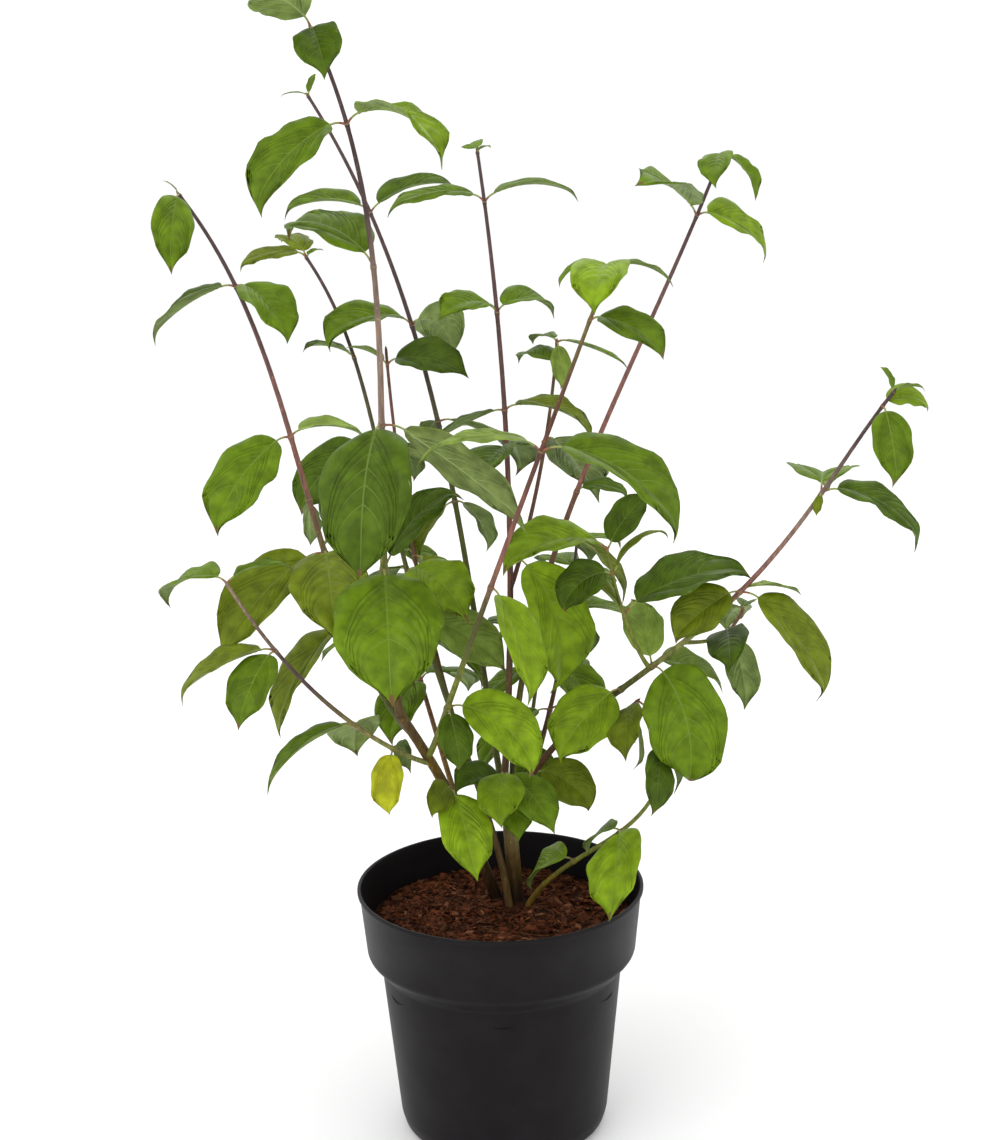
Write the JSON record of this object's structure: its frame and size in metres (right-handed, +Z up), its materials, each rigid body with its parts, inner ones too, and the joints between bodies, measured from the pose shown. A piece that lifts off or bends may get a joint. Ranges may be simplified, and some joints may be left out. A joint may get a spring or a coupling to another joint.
{
  "type": "potted shrub",
  "caption": "Young red-barked dogwood shrub: slender branching canes with opposite veined leaves, growing from bark mulch in a round nursery pot.",
  "frame": {"origin": "centre of the pot's flat underside", "axes": "+Z up along the pot's axis, -Y towards the viewer of the picture, +X to the viewer's right"},
  "size_m": [0.4891, 0.3498, 0.7471],
  "materials": {
    "black_plastic": "satin charcoal black",
    "peat": "dark crumbly growing medium",
    "bark_chips": "rough reddish-brown chips",
    "bark": "smooth, dark red above and brown near the ground",
    "foliage": "satin green with paler undersides"
  },
  "bodies": {
    "root": {"nursery_pot": "black_plastic", "growing_medium": "peat", "bark_mulch": "bark_chips", "main_stem": "bark", "left_stem": "bark", "back_cane": "bark", "back_left_cane": "bark", "back_low_shoot": "bark", "back_right_cane": "bark", "centre_cane": "bark", "far_right_cane": "bark", "front_cane": "bark", "inner_cane": "bark", "left_cane": "bark", "low_left_shoot": "bark", "low_stem": "bark", "olive_stem": "bark", "right_cane": "bark", "short_cane": "bark", "tall_cane": "bark", "back_cane_leaves": "foliage", "back_left_cane_leaves": "foliage", "back_low_shoot_leaves": "foliage", "back_right_cane_leaves": "foliage", "centre_cane_leaves": "foliage", "far_right_cane_leaves": "foliage", "front_cane_leaves": "foliage", "inner_cane_leaves": "foliage", "left_cane_leaves": "foliage", "left_spur_leaves": "foliage", "low_left_shoot_leaves": "foliage", "low_stem_leaves": "foliage", "main_spur_leaves": "foliage", "olive_stem_leaves": "foliage", "right_cane_leaves": "foliage", "short_cane_leaves": "foliage", "tall_cane_leaves": "foliage"}
  },
  "joints": []
}
